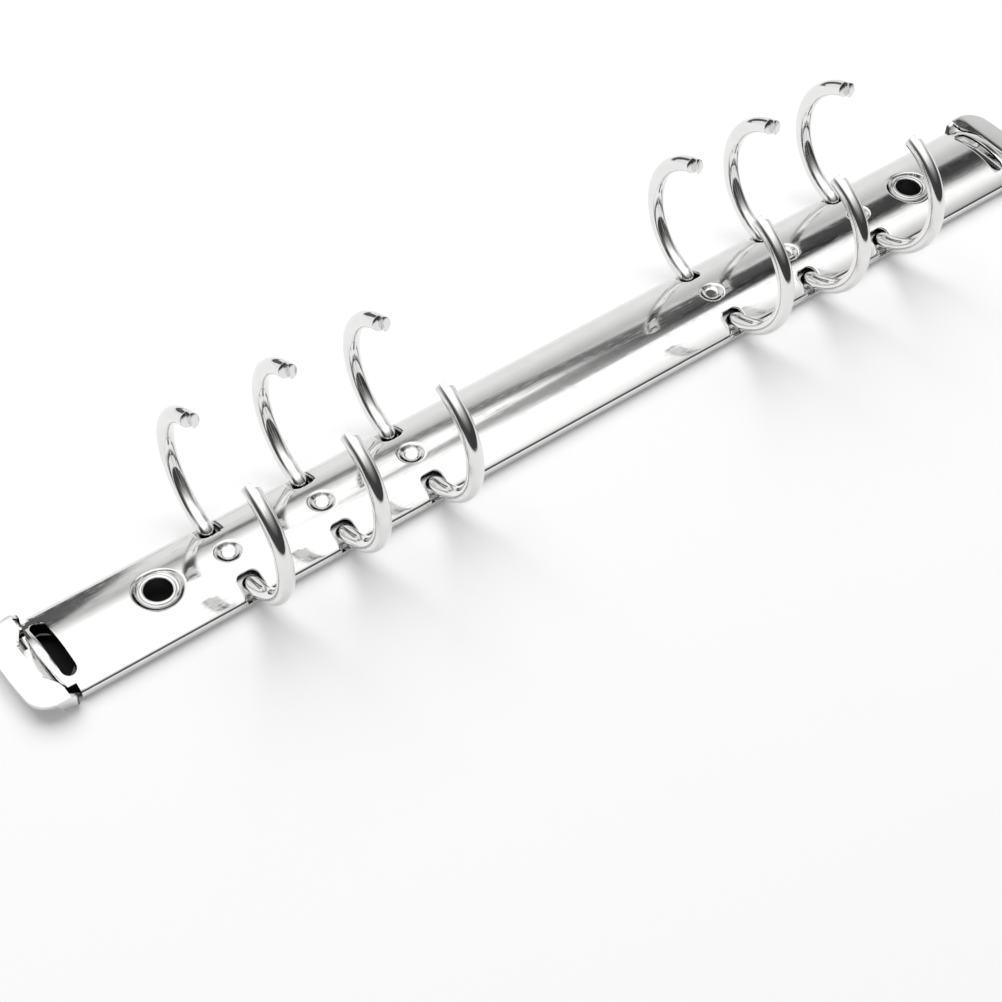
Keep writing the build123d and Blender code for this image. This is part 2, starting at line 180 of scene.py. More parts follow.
def room_light(tree, direction):
    """Brightness of the room seen in a direction: walls, then screens, then the dark edge."""
    x, y, z = add_node(tree, "ShaderNodeSeparateXYZ", {0: direction}).outputs
    height = math(tree, "DEGREES", math(tree, "ARCSINE", z))
    bearing = math(tree, "DEGREES", math(tree, "ARCTAN2", x, y))
    place = math(tree, "DIVIDE", math(tree, "ADD", height, 90), 180)
    light = ramp(tree, place, [((90 + h) / 180, g) for h, g in FAR_WALL])
    for middle, half, soft, wall in SIDES:
        grey = ramp(tree, place, [((90 + h) / 180, g) for h, g in wall])
        light = blend(tree, bearing_band(tree, bearing, middle, half, soft), light, grey)
    for middle, half, low, high, soft, keep in SCREENS:
        across = bearing_band(tree, bearing, middle, half, soft)
        above = smooth_step(tree, height, low - soft / 2, low + soft / 2)
        below = math(tree, "SUBTRACT", 1, smooth_step(tree, height, high - soft / 2, high + soft / 2))
        covered = math(tree, "MULTIPLY", math(tree, "MULTIPLY", across, above), below)
        left_over = math(tree, "SUBTRACT", 1, math(tree, "MULTIPLY", covered, 1 - keep))
        light = math(tree, "MULTIPLY", light, left_over)
    turned_by = math(tree, "DIVIDE", math(tree, "ADD", bearing, 180), 360)
    edge_height, edge_width, edge_dark = (
        ramp(tree, turned_by, [((row[0] + 180) / 360, row[column] / scale) for row in EDGE])
        for column, scale in ((1, 90), (2, 90), (3, 1)))
    off_edge = math(tree, "SUBTRACT", height, math(tree, "MULTIPLY", edge_height, 90))
    off_edge = math(tree, "DIVIDE", math(tree, "ABSOLUTE", off_edge), math(tree, "MULTIPLY", edge_width, 90))
    on_edge = math(tree, "SUBTRACT", 1, smooth_step(tree, off_edge, 0.55, 1.45))
    left_over = math(tree, "SUBTRACT", 1, math(tree, "MULTIPLY", on_edge, edge_dark))
    return math(tree, "MULTIPLY", math(tree, "MULTIPLY", light, left_over), CEILING)


# %% [markdown]
# Matt surfaces get only a share of the world, because the lamp lights them too and its shadows would
# wash out. The camera sees plain white where the floor ends.

# %% World
WORLD_SHARE = 0.30

world = bpy.data.worlds.new("studio")
bpy.context.scene.world = world
world.use_nodes = True
tree = world.node_tree
tree.nodes.clear()
seen = add_node(tree, "ShaderNodeTexCoord").outputs["Generated"]
path = add_node(tree, "ShaderNodeLightPath")
share = math(tree, "SUBTRACT", 1, math(tree, "MULTIPLY", path.outputs["Is Diffuse Ray"], 1 - WORLD_SHARE))
room = add_node(tree, "ShaderNodeBackground", {"Color": room_light(tree, seen), "Strength": share})
white = add_node(tree, "ShaderNodeBackground", {"Color": (1, 1, 1, 1)})
shown = add_node(tree, "ShaderNodeMixShader", {
    0: path.outputs["Is Camera Ray"], 1: room.outputs[0], 2: white.outputs[0]})
add_node(tree, "ShaderNodeOutputWorld", {"Surface": shown.outputs[0]})
print("world nodes", len(tree.nodes))

# %% [markdown]
# A large soft lamp above the far side adds the shadows that fall towards the camera. It is too large
# to draw the rings' shadows, and only what lies near the floor keeps its own. The metal doesn't mirror
# it, because the ceiling already stands there.

# %% Lamp
lamp = bpy.data.objects.new("ceiling_lamp", bpy.data.lights.new("ceiling_lamp", "AREA"))
lamp.data.shape = "SQUARE"
lamp.data.size = 1.9
lamp.data.energy = 33
lamp.visible_glossy = False
lamp.location = (0.22, 0.95, 1.50)
lamp.rotation_mode = "QUATERNION"
lamp.rotation_quaternion = (Vector((0, 0, 0)) - lamp.location).to_track_quat("-Z", "Y")
bpy.context.scene.collection.objects.link(lamp)
print("lamp", lamp.data.energy, "W")

# %% [markdown]
# ## Floor
# A matt white sheet. What the camera and the metal see of it gets a little glow, so that it stays white
# while the shadows remain. In the metal, the floor gives way to the room further out, as a table that
# ends does. Under the cover, where little light comes, the floor has painted shade: a dark grey and no
# glow.

# %% Floor
floor_drop = 0.02 * MM
reach = 2.5
floor_mesh = bpy.data.meshes.new("floor")
corners = [(-reach, -reach, 0), (reach, -reach, 0), (reach, reach, 0), (-reach, reach, 0)]
floor_mesh.from_pydata(corners, [], [(0, 1, 2, 3)])
floor = bpy.data.objects.new("floor", floor_mesh)
floor.location.z = -floor_drop
bpy.context.scene.collection.objects.link(floor)
print("floor", 2 * reach, "m wide")

# %% Floor finish
GLOW = 0.12
PAPER_GREY, PAINTED_SHADE_GREY = 0.92, 0.02
shade_x, shade_y, shade_edge = 109.2 * MM, 8.0 * MM, 0.8 * MM
room_starts, room_alone = 0.14, 0.32

floor_finish = bpy.data.materials.new("floor_sheet")
floor_finish.use_nodes = True
tree = floor_finish.node_tree
tree.nodes.clear()
place = add_node(tree, "ShaderNodeTexCoord").outputs["Object"]
axes = add_node(tree, "ShaderNodeSeparateXYZ", {0: place}).outputs
# Painted shade: within the cover's footprint the floor is a dark grey and gets no glow.
under_x, under_y = (
    smooth_step(tree, math(tree, "ABSOLUTE", axis), shade + shade_edge, shade)
    for axis, shade in ((axes[0], shade_x), (axes[1], shade_y)))
open_floor = math(tree, "SUBTRACT", 1, math(tree, "MULTIPLY", under_x, under_y))
grey = math(tree, "MULTIPLY_ADD", open_floor, PAPER_GREY, PAINTED_SHADE_GREY)
paper = add_node(tree, "ShaderNodeBsdfDiffuse", {"Color": grey})
glow = add_node(tree, "ShaderNodeEmission", {"Strength": math(tree, "MULTIPLY", open_floor, GLOW)})
lit = add_node(tree, "ShaderNodeAddShader", {0: paper.outputs[0], 1: glow.outputs[0]})
towards = add_node(tree, "ShaderNodeVectorMath", {0: place}, operation="NORMALIZE").outputs[0]
beyond = add_node(tree, "ShaderNodeEmission", {"Color": room_light(tree, towards)})
distance = add_node(tree, "ShaderNodeVectorMath", {0: place}, operation="LENGTH").outputs["Value"]
away = smooth_step(tree, distance, room_starts, room_alone)
path = add_node(tree, "ShaderNodeLightPath")
mirrored = math(tree, "MULTIPLY", path.outputs["Is Glossy Ray"], away)
looked_at = math(tree, "MAXIMUM", path.outputs["Is Camera Ray"], path.outputs["Is Glossy Ray"])
plain = add_node(tree, "ShaderNodeMixShader", {0: looked_at, 1: paper.outputs[0], 2: lit.outputs[0]})
whole = add_node(tree, "ShaderNodeMixShader", {0: mirrored, 1: plain.outputs[0], 2: beyond.outputs[0]})
add_node(tree, "ShaderNodeOutputMaterial", {"Surface": whole.outputs[0]})
floor.data.materials.append(floor_finish)
print("floor nodes", len(tree.nodes))


# %% [markdown]
# ## Sizes
# The model's own boxes and joints give the outer sizes, the pivots and the angles. The rest are the
# sizes of the stamped sheet, its pressed places and the wire.

# %% Sizes
low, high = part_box("cover_plate")
half_length, half_width, cover_height = high.x, high.y, high.z
sheet = 0.5 * MM
shoulder_height = 1.94 * MM
shoulder_radius = 0.9 * MM
hem_radius = 0.7 * MM
hem_width = 1.5 * MM
end_bulge_radius = 25 * MM

dimple_depth = 0.6 * MM
seat_depth = 0.8 * MM
eyelet_x = 86.8 * MM

ring_pitch = 19 * MM
middle_gap = 70 * MM
wire_radius = 1.5 * MM
ring_radius = 13.5 * MM
heel_radius = 2.0 * MM
ring_bottom = 1.05 * MM
ring_from_pivot = 1.9 * MM
rail_sheet = 0.8 * MM
pivot_y, pivot_z = joint["rear_rail_hinge"]["pos_m"][1:]
swing = radians(joint["rear_rail_hinge"]["range_deg"][1])
ring_x = [side * (middle_gap / 2 + step * ring_pitch) for side in (-1, 1) for step in range(3)]
print("cover", round(half_length / MM * 2, 1), "by", round(half_width / MM * 2, 1), "mm")
print("swing", round(degrees(swing), 2), "degrees, rings at", [round(x / MM, 1) for x in ring_x])


# %% [markdown]
# ## Nickel plate
# All pieces are steel with bright nickel plate, a metal a little darker and warmer than chrome. What
# makes it look real is small: hair-fine scratches from handling, a slow ripple left by stamping, and
# a roughness that changes from place to place. One function makes the finish and each piece gets its
# own amounts. The punch also leaves steeper walls than the mesh has, so the cover's finish adds a
# little depth round each dimple and each seat.

# %% Pressed places
PRESSED_DEPTH = 0.4 * MM


def pressed_height(tree, place):
    """Extra depth of the punched places, which steepens their walls in the light."""
    x, y, _ = add_node(tree, "ShaderNodeSeparateXYZ", {0: place}).outputs
    out = math(tree, "ABSOLUTE", x)
    past_first = math(tree, "GREATER_THAN", out, (middle_gap - ring_pitch) / 2)
    before_seat = math(tree, "LESS_THAN", out, ring_x[-1] + 8.5 * MM)
    in_row = math(tree, "MULTIPLY", past_first, before_seat)
    from_first = math(tree, "SUBTRACT", out, middle_gap / 2)
    from_nearest = math(tree, "WRAP", from_first, ring_pitch / 2, -ring_pitch / 2)
    from_seat = math(tree, "SUBTRACT", out, eyelet_x)
    depth = 0.0
    for offset, inner, outer, amount in (
        (from_nearest, 1.0 * MM, 2.4 * MM, in_row),
        (from_seat, 3.4 * MM, 4.7 * MM, 1.0),
    ):
        squares = math(tree, "ADD", math(tree, "MULTIPLY", offset, offset), math(tree, "MULTIPLY", y, y))
        away = math(tree, "SQRT", squares)
        hollow = math(tree, "MULTIPLY", smooth_step(tree, away, outer, inner), amount)
        depth = math(tree, "ADD", depth, hollow)
    return math(tree, "MULTIPLY", depth, -PRESSED_DEPTH)


# %% Nickel
SCRATCH_STRETCH = (60, 900, 900)


def nickel(name, grey, rough, scratches, ripple, pressed=False, painted_shade_within=0.0):
    """Bright nickel plate: a grey, its roughness, and how strong its scratches and its ripple are.

    The part nearer to the middle than the given reach lies in the dark under the cover, and its colour is
    darkened there as painted shade.
    """
    finish = bpy.data.materials.new(name)
    finish.use_nodes = True
    tree = finish.node_tree
    tree.nodes.clear()
    place = add_node(tree, "ShaderNodeTexCoord").outputs["Object"]
    lines = []
    for turn in (0.12, -0.9):
        source = add_node(tree, "ShaderNodeMapping", {
            "Vector": place, "Scale": SCRATCH_STRETCH, "Rotation": (0, 0, turn)})
        noise = add_node(tree, "ShaderNodeTexNoise", {
            "Vector": source.outputs[0], "Scale": 4.0, "Detail": 3.0})
        lines.append(ramp(tree, noise.outputs["Fac"], [(0.60, 0.0), (0.66, 1.0), (0.70, 0.0)]))
    hair = math(tree, "ADD", lines[0], math(tree, "MULTIPLY", lines[1], 0.6), clamp=True)
    wave = add_node(tree, "ShaderNodeTexNoise", {"Vector": place, "Scale": 55.0, "Detail": 1.0})
    cloud = add_node(tree, "ShaderNodeTexNoise", {"Vector": place, "Scale": 260.0, "Detail": 4.0})
    roughness = add_node(tree, "ShaderNodeMapRange", {
        "Value": cloud.outputs["Fac"], "From Min": 0.3, "From Max": 0.7,
        "To Min": rough * 0.8, "To Max": rough * 1.2})
    scratched = math(tree, "ADD", roughness.outputs[0], math(tree, "MULTIPLY", hair, 0.05))
    slow = add_node(tree, "ShaderNodeBump", {
        "Strength": ripple, "Distance": 0.6 * MM, "Height": wave.outputs["Fac"]})
    fine = add_node(tree, "ShaderNodeBump", {
        "Strength": scratches, "Distance": 0.02 * MM, "Height": hair, "Normal": slow.outputs[0]}, invert=True)
    if pressed:
        fine = add_node(tree, "ShaderNodeBump", {
            "Distance": 1.0, "Height": pressed_height(tree, place), "Normal": fine.outputs[0]})
    tone = add_node(tree, "ShaderNodeMapRange", {
        "Value": cloud.outputs["Fac"], "From Min": 0.3, "From Max": 0.7,
        "To Min": grey * 0.97, "To Max": grey * 1.02})
    colour = add_node(tree, "ShaderNodeCombineColor", {
        "Red": tone.outputs[0], "Green": math(tree, "MULTIPLY", tone.outputs[0], 0.995),
        "Blue": math(tree, "MULTIPLY", tone.outputs[0], 0.985)})
    # Painted shade: nearer to the middle than the given reach, the colour is darkened to 8 percent for the
    # dark under the cover.
    if painted_shade_within:
        x = add_node(tree, "ShaderNodeSeparateXYZ", {0: place}).outputs[0]
        out = math(tree, "ABSOLUTE", x)
        open_part = smooth_step(tree, out, painted_shade_within - 0.2 * MM, painted_shade_within + 0.2 * MM)
        painted_shade_factor = math(tree, "MULTIPLY_ADD", open_part, 0.92, 0.08)
        colour = add_node(tree, "ShaderNodeVectorMath", {
            0: colour.outputs[0], 1: painted_shade_factor}, operation="MULTIPLY")
    shader = add_node(tree, "ShaderNodeBsdfPrincipled", {
        "Base Color": colour.outputs[0], "Metallic": 1.0, "Roughness": scratched, "Normal": fine.outputs[0]})
    add_node(tree, "ShaderNodeOutputMaterial", {"Surface": shader.outputs[0]})
    return finish


# %% [markdown]
# The rails are duller than the rest, as rolled strip is. The levers' inner end, which lies under the
# cover and shows dark in the end slots, has painted shade: its colour is darkened there.

# %% Finishes
cover_nickel = nickel("nickel_cover", 0.80, 0.07, 0.10, 0.004, pressed=True)
wire_nickel = nickel("nickel_wire", 0.80, 0.05, 0.06, 0.006)
# The levers' inner end gets painted shade, for the dark under the cover.
lever_nickel = nickel("nickel_lever", 0.80, 0.08, 0.10, 0.004, painted_shade_within=108.2 * MM)
eyelet_nickel = nickel("nickel_eyelet", 0.80, 0.08, 0.08, 0.004)
rail_nickel = nickel("nickel_rail", 0.62, 0.25, 0.10, 0.01)
print("finishes", [made.name for made in bpy.data.materials if made.name.startswith("nickel")])

# %% [markdown]
# ## Small mesh helpers
# Each finished piece is an object at the origin whose mesh is already in place. It gets its material,
# smooth shading that breaks at real edges, and the CAD body that it moves with.

# %% Finishing a piece
def finish_piece(name, mesh, finish, body, nodes, sharp_deg=35):
    """Object from a mesh, shaded, painted, riding on its body and standing for its CAD nodes."""
    mesh.name = name
    mesh.materials.clear()
    mesh.materials.append(finish)
    for polygon in mesh.polygons:
        polygon.use_smooth = True
        polygon.material_index = 0
    mesh.set_sharp_from_angle(angle=radians(sharp_deg))
    piece = bpy.data.objects.new(name, mesh)
    bpy.context.scene.collection.objects.link(piece)
    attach(piece, body)
    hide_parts(*nodes)
    mesh.calc_loop_triangles()
    print(name, len(mesh.loop_triangles), "triangles")
    return piece


def baked(thing):
    """Plain mesh of an object as its modifiers leave it. The object itself is removed."""
    evaluated = thing.evaluated_get(bpy.context.evaluated_depsgraph_get())
    mesh = bpy.data.meshes.new_from_object(evaluated)
    bpy.data.objects.remove(thing)
    return mesh


# %% [markdown]
# ## The cover's section
# On the real object a flat blank is punched, then bent over a former: a long arch, a tight shoulder, a
# short skirt and a rolled hem that takes the rails. The same order works here. The blank is drawn flat
# with its holes, and every point of it is then walked round the section by its distance from the
# middle. Holes that cross the shoulder bend by themselves, as in the real sheet.

# %% Lengths of the section
rise = cover_height - shoulder_height
crown_radius = (half_width**2 + rise**2) / (2 * rise)
crown_middle = cover_height - crown_radius
shoulder_y = half_width - shoulder_radius
shoulder_z = crown_middle + sqrt((crown_radius - shoulder_radius) ** 2 - shoulder_y**2)
crown_turn = asin(shoulder_y / (crown_radius - shoulder_radius))
section = [
    crown_radius * crown_turn,
    shoulder_radius * (pi / 2 - crown_turn),
    shoulder_z - hem_radius,
    hem_radius * pi / 2,
    hem_width - hem_radius,
]
station = np.concatenate(([0], np.cumsum(section)))
print("half blank", round(station[-1] / MM, 2), "mm, arch radius", round(crown_radius / MM, 2), "mm")


# %% Walking the section
def walk(s):
    """Places (y, z) on the outside of the section at distances s from its middle line."""
    side, d = np.sign(s), np.abs(s)
    on_crown = np.minimum(d, station[1]) / crown_radius
    y = crown_radius * np.sin(on_crown)
    z = crown_middle + crown_radius * np.cos(on_crown)
    a = crown_turn + (d - station[1]) / shoulder_radius
    y = np.where(d > station[1], shoulder_y + shoulder_radius * np.sin(a), y)
    z = np.where(d > station[1], shoulder_z + shoulder_radius * np.cos(a), z)
    y = np.where(d > station[2], half_width, y)
    z = np.where(d > station[2], shoulder_z - (d - station[2]), z)
    b = (d - station[3]) / hem_radius
    y = np.where(d > station[3], half_width - hem_radius + hem_radius * np.cos(b), y)
    z = np.where(d > station[3], hem_radius - hem_radius * np.sin(b), z)
    y = np.where(d > station[4], half_width - hem_radius - (d - station[4]), y)
    z = np.where(d > station[4], 0, z)
    return side * y, z


def unroll(y):
    """Distance from the middle line of the blank to a place y on the crown or the shoulder."""
    d = np.abs(y)
    crown = crown_radius * np.arcsin(np.minimum(d, crown_radius) / crown_radius)
    on_shoulder = np.clip((d - shoulder_y) / shoulder_radius, -1, 1)
    shoulder = station[1] + shoulder_radius * (np.arcsin(on_shoulder) - crown_turn)
    return np.sign(y) * np.where(crown > station[1], shoulder, crown)


print("the shoulder starts at", round(float(walk(station[1])[0]) / MM, 2), "mm from the middle line")

# %% [markdown]
# ## The blank's outlines
# The outline bulges at both ends and is cut back at the corners. Inside it are twelve notches for the
# rings, two end slots for the levers and two holes for the eyelets.

# %% Sizes of the holes
notch_width = 4.4 * MM
notch_play = 0.05 * MM
notch_inner = pivot_y - ring_from_pivot - wire_radius - notch_play
notch_corner = 1.4 * MM
notch_floor = 1.1 * MM
corner_cut_length, corner_cut_depth = 2.7 * MM, 1.7 * MM
slot_width, bridge_width = 2.8 * MM, 1.5 * MM
slot_margin = 1.3 * MM
slot_half = half_width - corner_cut_depth - slot_margin
eyelet_hole = 2.85 * MM
print("slot", round(2 * slot_half / MM, 1), "mm across, notches from", round(notch_inner / MM, 2), "mm")


# %% Outline helpers
def arc(middle, radius, start, end, count):
    """Points round a circle between two angles in degrees."""
    angles = np.radians(np.linspace(start, end, count))
    return [(middle[0] + radius * cos(a), middle[1] + radius * sin(a)) for a in angles]


def spaced(points, step):
    """A closed outline with points no further apart than a step."""
    made = []
    for (x1, y1), (x2, y2) in zip(points, points[1:] + points[:1]):
        count = max(1, ceil(hypot(x2 - x1, y2 - y1) / step))
        made += [(x1 + (x2 - x1) * i / count, y1 + (y2 - y1) * i / count) for i in range(count)]
    return made


def on_blank(plan):
    """Points of a plan (x, y) as the blank has them: (x, distance from the middle line)."""
    return [(x, float(unroll(y))) for x, y in plan]


print("outline helpers", [made.__name__ for made in (arc, spaced, on_blank)])


# %% Outlines
def blank_outline():
    """Outer outline, as (x, distance from the middle line)."""
    bulge_middle = half_length - end_bulge_radius
    cut = half_width - corner_cut_depth
    reach = degrees(asin(cut / end_bulge_radius))
    right = on_blank(arc((bulge_middle, 0), end_bulge_radius, -reach, reach, 61))
    corner_x = half_length - corner_cut_length
    right += [(corner_x, right[-1][1]), (corner_x, station[-1])]
    left = [(-x, -s) for x, s in right]
    right = [(corner_x, -station[-1]), (corner_x, right[0][1])] + right
    left = [(-corner_x, station[-1]), (-corner_x, left[0][1])] + left
    return spaced(right + left, 0.4 * MM)


def notch_outline(x, side):
    """A ring notch: round inner corners on the crown, down over the shoulder to its floor on the skirt."""
    floor_s = station[2] + shoulder_z - notch_floor
    half = notch_width / 2
    plan = arc((half - notch_corner, notch_inner + notch_corner), notch_corner, 0, -90, 9)
    plan += arc((-half + notch_corner, notch_inner + notch_corner), notch_corner, -90, -180, 9)
    inner = on_blank(plan)
    small = 0.25 * MM
    outer = arc((-half + small, floor_s - small), small, 180, 90, 4)
    outer += arc((half - small, floor_s - small), small, 90, 0, 4)
    return spaced([(x + px, side * s) for px, s in inner + outer], 0.3 * MM)


def slot_outline(side):
    """An end slot with round ends, across the plate."""
    middle = side * (half_length - bridge_width - slot_width / 2)
    half = slot_width / 2
    plan = arc((middle, slot_half - half), half, 0, 180, 13)
    plan += arc((middle, half - slot_half), half, 180, 360, 13)
    return on_blank(spaced(plan, 0.35 * MM))


def eyelet_outline(side):
    """The round hole that an eyelet sits in."""
    return on_blank(arc((side * eyelet_x, 0), eyelet_hole, 0, 356.25, 96))


hole_outlines = [notch_outline(x, side) for x in ring_x for side in (-1, 1)]
hole_outlines += [outline(side) for outline in (slot_outline, eyelet_outline) for side in (-1, 1)]
print("holes", len(hole_outlines))


# %% [markdown]
# ## Filling the blank
# A regular grid gives clean reflections, so it fills the sheet. Rings of points take its place round
# each dimple and each seat, where the sheet is pressed. A constrained triangulation ties the grid, the
# rings and the outlines together, and the triangles that fall in a hole are dropped.

# %% Tests and rows for the blank
def inside(points, outline):
    """Which points lie inside a closed outline."""
    x, y = points[:, 0][:, None], points[:, 1][:, None]
    edge = np.array(outline)
    x1, y1 = edge[:, 0][None], edge[:, 1][None]
    x2, y2 = np.roll(edge[:, 0], -1)[None], np.roll(edge[:, 1], -1)[None]
    with np.errstate(divide="ignore", invalid="ignore"):
        crosses = ((y1 > y) != (y2 > y)) & (x < (x2 - x1) * (y - y1) / (y2 - y1) + x1)
    return crosses.sum(1) % 2 == 1


def drop_holes(points, wanted):
    """Take the points that fall in a hole out of those that are wanted."""
    longest_hole = 12 * MM
    for outline in hole_outlines:
        near = np.abs(points[:, 0] - np.mean([p[0] for p in outline])) < longest_hole
        wanted[near] &= ~inside(points[near], outline)


def rows():
    """Distances of the grid's rows from the middle line, closer together where the sheet bends."""
    counts = (18, 7, 2, 7, 2)
    half = [np.linspace(station[i], station[i + 1], count + 1)[1:] for i, count in enumerate(counts)]
    half = np.concatenate(half)
    return np.concatenate((-half[::-1], [0], half))


def pressed_rings(middle, radii, count):
    """Points on circles round the middle of a pressed place, in the blank."""
    made = [(middle, 0.0)] if radii[0] < 1 * MM else []
    for number, radius in enumerate(radii):
        for i in range(count):
            a = 2 * pi * (i + 0.5 * (number % 2)) / count
            made.append((middle + radius * cos(a), float(unroll(radius * sin(a)))))
    return made


print("rows", len(rows()))

# %% [markdown]
# The rings lie closest together where the sheet bends most, at the foot and the rim of each wall. The
# grid keeps away from them and from the outlines, so that no triangle gets too thin.

# %% Points of the blank
dimple_rings = [0.35, 0.65, 0.9, 1.05, 1.2, 1.4, 1.6, 1.8, 1.95, 2.1, 2.2, 2.3, 2.4, 2.55, 2.75, 3.0]
dimple_rings = np.array(dimple_rings) * MM
seat_rings = [3.1, 3.4, 3.7, 3.95, 4.08, 4.16, 4.22, 4.3, 4.38, 4.46, 4.54, 4.6, 4.66, 4.74, 4.85, 5.05, 5.3]
seat_rings = np.array(seat_rings) * MM
off_dimple, off_seat, off_outline = 0.15 * MM, 0.2 * MM, 0.16 * MM
batch = 2000

outer = blank_outline()
columns = np.linspace(-half_length, half_length, 241)
grid = np.array([(x, s) for x in columns for s in rows()])
outlines = [outer] + hole_outlines
edge_points = np.array([p for outline in outlines for p in outline])
keep = inside(grid, outer)
drop_holes(grid, keep)
for x in ring_x:
    keep &= np.hypot(grid[:, 0] - x, grid[:, 1]) > dimple_rings[-1] + off_dimple
for side in (-1, 1):
    keep &= np.hypot(grid[:, 0] - side * eyelet_x, grid[:, 1]) > seat_rings[-1] + off_seat
grid = grid[keep]
clear = np.ones(len(grid), bool)
for start in range(0, len(grid), batch):
    part = grid[start:start + batch]
    apart = np.hypot(part[:, None, 0] - edge_points[None, :, 0], part[:, None, 1] - edge_points[None, :, 1])
    clear[start:start + batch] = apart.min(1) > off_outline
grid = grid[clear]
extra = [p for x in ring_x for p in pressed_rings(x, dimple_rings, 40)]
extra += [p for side in (-1, 1) for p in pressed_rings(side * eyelet_x, seat_rings, 96)]
print("grid points", len(grid), "ring points", len(extra))

# %% Filled blank
blank_points, blank_edges = [], []
for outline in outlines:
    first = len(blank_points)
    blank_points += outline
    blank_edges += [(first + i, first + (i + 1) % len(outline)) for i in range(len(outline))]
blank_points += extra + [tuple(p) for p in grid]
scaled = [Vector((x / MM, s / MM)) for x, s in blank_points]
found = delaunay_2d_cdt(scaled, blank_edges, [], 0, 1e-5, False)
flat = np.array([tuple(v) for v in found[0]]) * MM
faces = np.array(found[2])
centres = flat[faces].mean(1)
wanted = inside(centres, outer)
drop_holes(centres, wanted)
faces = faces[wanted]
print("blank points", len(flat), "faces", len(faces))


# %% [markdown]
# ## Forming the cover
# The blank is walked round the section, and the dimples and seats are pressed down with a soft edge,
# as a punch leaves it. Solidify gives the sheet its thickness inwards, and a very small bevel catches
# the light along the cut edges, which is where thin sheet looks like metal.

# %% Pressing
def soft_least(a, b, soft):
    """The lower of two heights, with a rounded change from one to the other."""
    h = np.clip(0.5 + 0.5 * (b - a) / soft, 0, 1)
    return b * (1 - h) + a * h - soft * h * (1 - h)


def dimple_floor(r):
    """Height of a dimple's bowl at a distance from its middle: a small flat, then a rounded wall."""
    flat_radius, rim = 1.0 * MM, 2.35 * MM
    bowl = ((rim - flat_radius) ** 2 + dimple_depth**2) / (2 * dimple_depth)
    reach = bowl * 0.95
    out = np.clip(r - flat_radius, 0, reach)
    beyond = np.maximum(r - flat_radius - reach, 0)
    return cover_height - dimple_depth + bowl - np.sqrt(bowl**2 - out**2) + beyond * 3


def seat_floor(r):
    """Height of an eyelet seat: a flat pad under the eyelet's lip and a wall that steepens to the rim."""
    pad, rim = 3.5 * MM, 4.6 * MM
    return cover_height - seat_depth + seat_depth * (np.maximum(r - pad, 0) / (rim - pad)) ** 1.6


dimple_reach, dimple_soft = 3.2 * MM, 0.22 * MM
seat_reach, seat_soft = 5.4 * MM, 0.14 * MM
y, z = walk(flat[:, 1])
x = flat[:, 0]
for middle in ring_x:
    r = np.hypot(x - middle, y)
    z = np.where(r < dimple_reach, soft_least(z, dimple_floor(r), dimple_soft), z)
for side in (-1, 1):
    r = np.hypot(x - side * eyelet_x, y)
    z = np.where(r < seat_reach, soft_least(z, seat_floor(r), seat_soft), z)
print("highest", round(z.max() / MM, 2), "mm")

# %% Formed cover
cover_mesh = bpy.data.meshes.new("cover")
cover_mesh.from_pydata(np.column_stack((x, y, z)).tolist(), [], faces.tolist())
shaped = bmesh.new()
shaped.from_mesh(cover_mesh)
bmesh.ops.join_triangles(shaped, faces=shaped.faces, angle_face_threshold=0.3, angle_shape_threshold=0.35)
shaped.normal_update()
upwards = sum(face.normal.z * face.calc_area() for face in shaped.faces)
if upwards < 0:
    bmesh.ops.reverse_faces(shaped, faces=shaped.faces)
shaped.to_mesh(cover_mesh)
shaped.free()

formed = bpy.data.objects.new("cover_formed", cover_mesh)
bpy.context.scene.collection.objects.link(formed)
thick = formed.modifiers.new("sheet", "SOLIDIFY")
thick.thickness, thick.offset, thick.use_even_offset = sheet, -1, True
edges = formed.modifiers.new("cut_edges", "BEVEL")
edges.width, edges.segments, edges.limit_method, edges.angle_limit = 0.07 * MM, 2, "ANGLE", radians(55)
finish_piece("cover", baked(formed), cover_nickel, "cover", ["cover_plate"], 40)


# %% [markdown]
# ## Rings
# Each half ring is one length of round wire: a short leg that stands on the rail, a tight heel, and an
# arc that ends in a step, so that the two halves lap when the ring shuts. All twelve follow the same
# rule, so a geometry tree makes them. First come the places that follow from the real mechanism: how far
# the rail tilts when the rings stand open, where the wire leaves it and where its heel meets the arc.

# %% Path of one half ring
def turned(y, z, angle):
    """Point (y, z) turned from +Y towards +Z."""
    return Vector((y * cos(angle) - z * sin(angle), y * sin(angle) + z * cos(angle)))


middle_play, dimple_play = 0.1 * MM, 0.05 * MM
rail_reach = pivot_y - middle_play
rail_rise = cover_height - dimple_depth - sheet - dimple_play - pivot_z
tilt = asin(rail_rise / hypot(rail_reach, rail_sheet / 2)) - atan2(rail_sheet / 2, rail_reach)
pivot = Vector((pivot_y, pivot_z))
ring_middle = pivot + turned(-pivot_y, ring_bottom + ring_radius - pivot_z, -swing)
foot = pivot + turned(-ring_from_pivot, rail_sheet / 2, -tilt)
leg, outwards = turned(0, 1, -tilt), turned(1, 0, -tilt)
from_middle = foot + outwards * heel_radius - ring_middle
along = from_middle.dot(leg)
leg_height = -along - sqrt(along**2 - from_middle.length_squared + (ring_radius + heel_radius) ** 2)
heel_middle = foot + outwards * heel_radius + leg * leg_height
meet = atan2(*reversed(heel_middle - ring_middle))
tip = pi / 2 - swing
print("tilt", round(degrees(tilt), 2), "heel meets ring at", round(degrees(meet), 2))
print("leg", round(leg_height / MM, 3), "mm")


# %% [markdown]
# The tree joins a line and two arcs to one path, sweeps the wire along it, cuts the step, adds the rivet
# head under the rail and repeats the result along the plate. Every size is an input. The far set and
# the near set are the same tree, turned half round.

# %% Tree for a set of rings
SOCKETS = {int: "NodeSocketInt", tuple: "NodeSocketVector", float: "NodeSocketFloat"}


